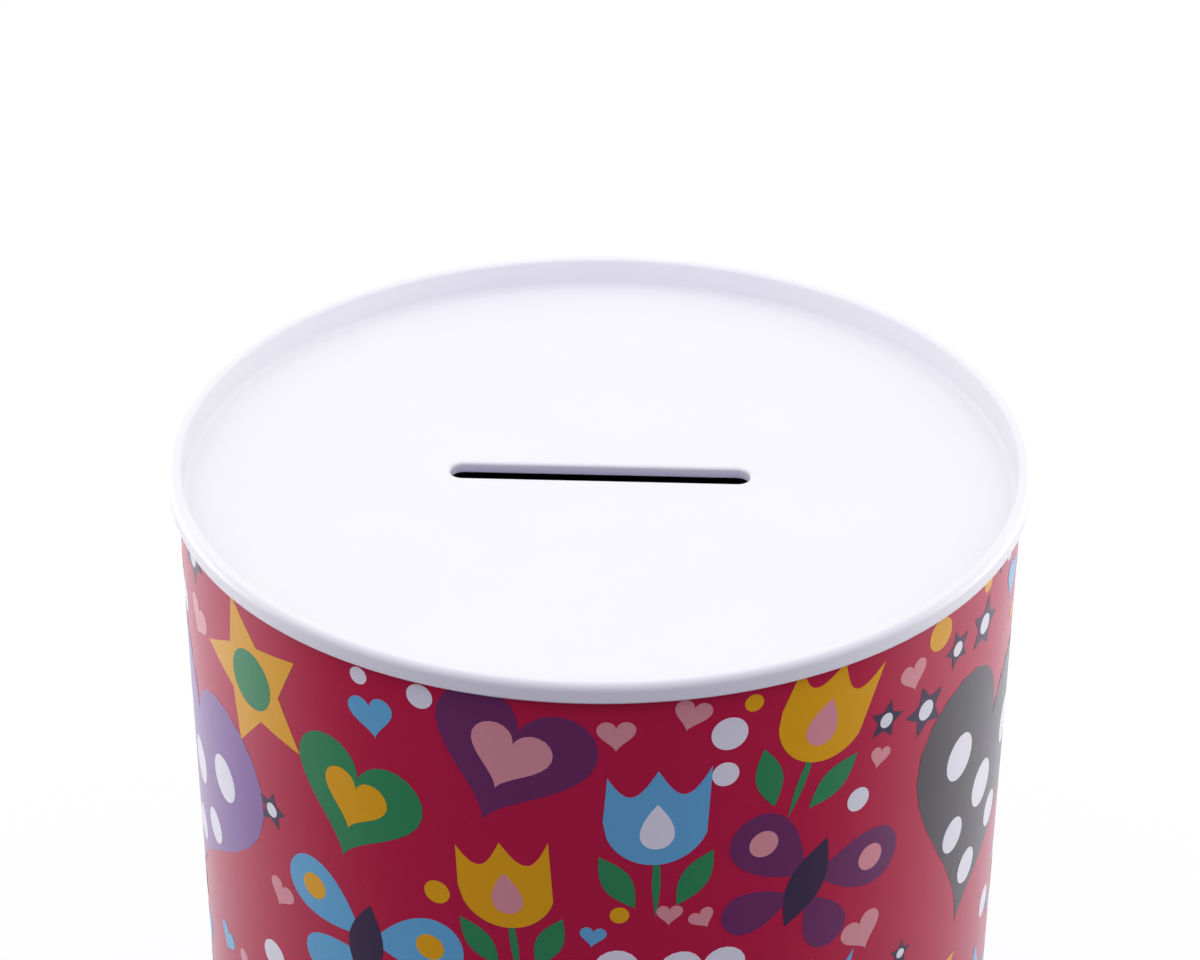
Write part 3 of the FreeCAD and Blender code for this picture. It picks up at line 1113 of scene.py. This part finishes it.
half = FLOOR_SIZE / 2
floor_corners = [(-half, -half, 0), (half, -half, 0), (half, half, 0), (-half, half, 0)]
floor_mesh = bpy.data.meshes.new("floor")
floor_mesh.from_pydata(floor_corners, [], [(0, 1, 2, 3)])
floor = add_object("floor", floor_mesh)
print("floor", FLOOR_SIZE, "m across")

# %% Paper, table and strips of light
PAPER_WHITE = linear("#DFDFE7")
TABLE_DARK = linear("#38383C")
PLAIN_WHITE = linear("#FFFFFF")
PAPER_STARTS = -130 * MM
PAPER_FULL = 70 * MM
STRIPS_START = 230 * MM
STRIPS_FULL = 380 * MM
STRIP_LIGHT = 4.6
CAMERA_SHARE = 0.8
MIRROR_SHARE = 0.3
PAPER_GLOW = 1.06


def kinds_of_ray(tree):
    """Outputs that tell rays from the camera, and rays by way of a gloss or through glass."""
    rays = add(tree, "ShaderNodeLightPath").outputs
    mirrored = add(
        tree,
        "ShaderNodeMath",
        {0: rays["Is Glossy Ray"], 1: rays["Is Transmission Ray"]},
        operation="MAXIMUM",
    )
    return rays["Is Camera Ray"], mirrored.outputs[0]


sweep, tree, place = new_finish("white_paper_sweep")
by_camera, by_mirror = kinds_of_ray(tree)
spot = add(tree, "ShaderNodeSeparateXYZ", {"Vector": place})
papered = add(
    tree,
    "ShaderNodeMapRange",
    {"Value": spot.outputs["Y"], "From Min": PAPER_STARTS, "From Max": PAPER_FULL},
    interpolation_type="SMOOTHSTEP",
).outputs["Result"]
white_here = add(tree, "ShaderNodeMath", {0: papered, 1: by_camera}, operation="MAXIMUM")
stock = add(
    tree,
    "ShaderNodeMix",
    {"Factor": white_here.outputs[0], COLOUR_A: TABLE_DARK, COLOUR_B: PAPER_WHITE},
    data_type="RGBA",
)
paper = add(tree, "ShaderNodeBsdfDiffuse", {"Color": stock.outputs[COLOUR_RESULT]})
aside = add(tree, "ShaderNodeMath", {0: spot.outputs["X"]}, operation="ABSOLUTE")
strips = add(
    tree,
    "ShaderNodeMapRange",
    {"Value": aside.outputs[0], "From Min": STRIPS_START, "From Max": STRIPS_FULL, "To Max": STRIP_LIGHT},
    interpolation_type="SMOOTHSTEP",
)
on_paper = add(tree, "ShaderNodeMath", {0: strips.outputs["Result"], 1: papered}, operation="MULTIPLY")
strip_glow = add(tree, "ShaderNodeEmission", {"Color": PLAIN_WHITE, "Strength": on_paper.outputs[0]})
lit_paper = add(tree, "ShaderNodeAddShader", {0: paper.outputs[0], 1: strip_glow.outputs[0]})
glow = add(tree, "ShaderNodeEmission", {"Color": PLAIN_WHITE, "Strength": PAPER_GLOW})
mirror_part = add(tree, "ShaderNodeMath", {0: papered, 1: MIRROR_SHARE}, operation="MULTIPLY")
in_mirrors = add(tree, "ShaderNodeMath", {0: by_mirror, 1: mirror_part.outputs[0]}, operation="MULTIPLY")
blend = add(
    tree,
    "ShaderNodeMath",
    {0: by_camera, 1: CAMERA_SHARE, 2: in_mirrors.outputs[0]},
    operation="MULTIPLY_ADD",
)
mixed = add(tree, "ShaderNodeMixShader", {0: blend.outputs[0], 1: lit_paper.outputs[0], 2: glow.outputs[0]})
add(tree, "ShaderNodeOutputMaterial", {"Surface": mixed.outputs[0]})
floor_mesh.materials.append(sweep)
print("floor has", sweep.name)

# %% World
# Colours of light, already linear, as one of them is more than full blue
BOOTH_WHITE = (1.0, 1.0, 0.995, 1)
BOOTH_FRONT = (0.90, 0.83, 1.17, 1)
FRONT_FULL = -0.95
FRONT_ENDS = -0.2
OVERHEAD = 1.0
FLANKS = 0.93
HORIZON = 0.02
LEAST = 0.04
BACKDROP = 1.0

world = bpy.data.worlds.new("booth")
bpy.context.scene.world = world
world.use_nodes = True
tree = world.node_tree
tree.nodes.clear()
way = add(tree, "ShaderNodeSeparateXYZ", {"Vector": add(tree, "ShaderNodeTexCoord").outputs["Generated"]})
to_back = add(
    tree,
    "ShaderNodeMapRange",
    {"Value": way.outputs["Y"], "From Min": FRONT_FULL, "From Max": FRONT_ENDS},
    interpolation_type="SMOOTHSTEP",
)
tint = add(
    tree,
    "ShaderNodeMix",
    {"Factor": to_back.outputs["Result"], COLOUR_A: BOOTH_FRONT, COLOUR_B: BOOTH_WHITE},
    data_type="RGBA",
)
aside = add(tree, "ShaderNodeMath", {0: way.outputs["X"]}, operation="ABSOLUTE")
flanks = add(tree, "ShaderNodeMath", {0: aside.outputs[0], 1: FLANKS, 2: HORIZON}, operation="MULTIPLY_ADD")
level = add(
    tree,
    "ShaderNodeMath",
    {0: way.outputs["Z"], 1: OVERHEAD, 2: flanks.outputs[0]},
    operation="MULTIPLY_ADD",
)
lit = add(tree, "ShaderNodeMath", {0: level.outputs[0], 1: LEAST}, operation="MAXIMUM")
booth = add(
    tree,
    "ShaderNodeBackground",
    {"Color": tint.outputs[COLOUR_RESULT], "Strength": lit.outputs[0]},
)
backdrop = add(tree, "ShaderNodeBackground", {"Color": PLAIN_WHITE, "Strength": BACKDROP})
by_camera, by_mirror = kinds_of_ray(tree)
seen = add(tree, "ShaderNodeMath", {0: by_camera, 1: by_mirror}, operation="MAXIMUM")
mixed = add(tree, "ShaderNodeMixShader", {0: seen.outputs[0], 1: booth.outputs[0], 2: backdrop.outputs[0]})
add(tree, "ShaderNodeOutputWorld", {"Surface": mixed.outputs[0]})
print("booth lit from overhead and from both flanks")

# %% View settings and sizes
bpy.context.scene.view_settings.view_transform = "Standard"
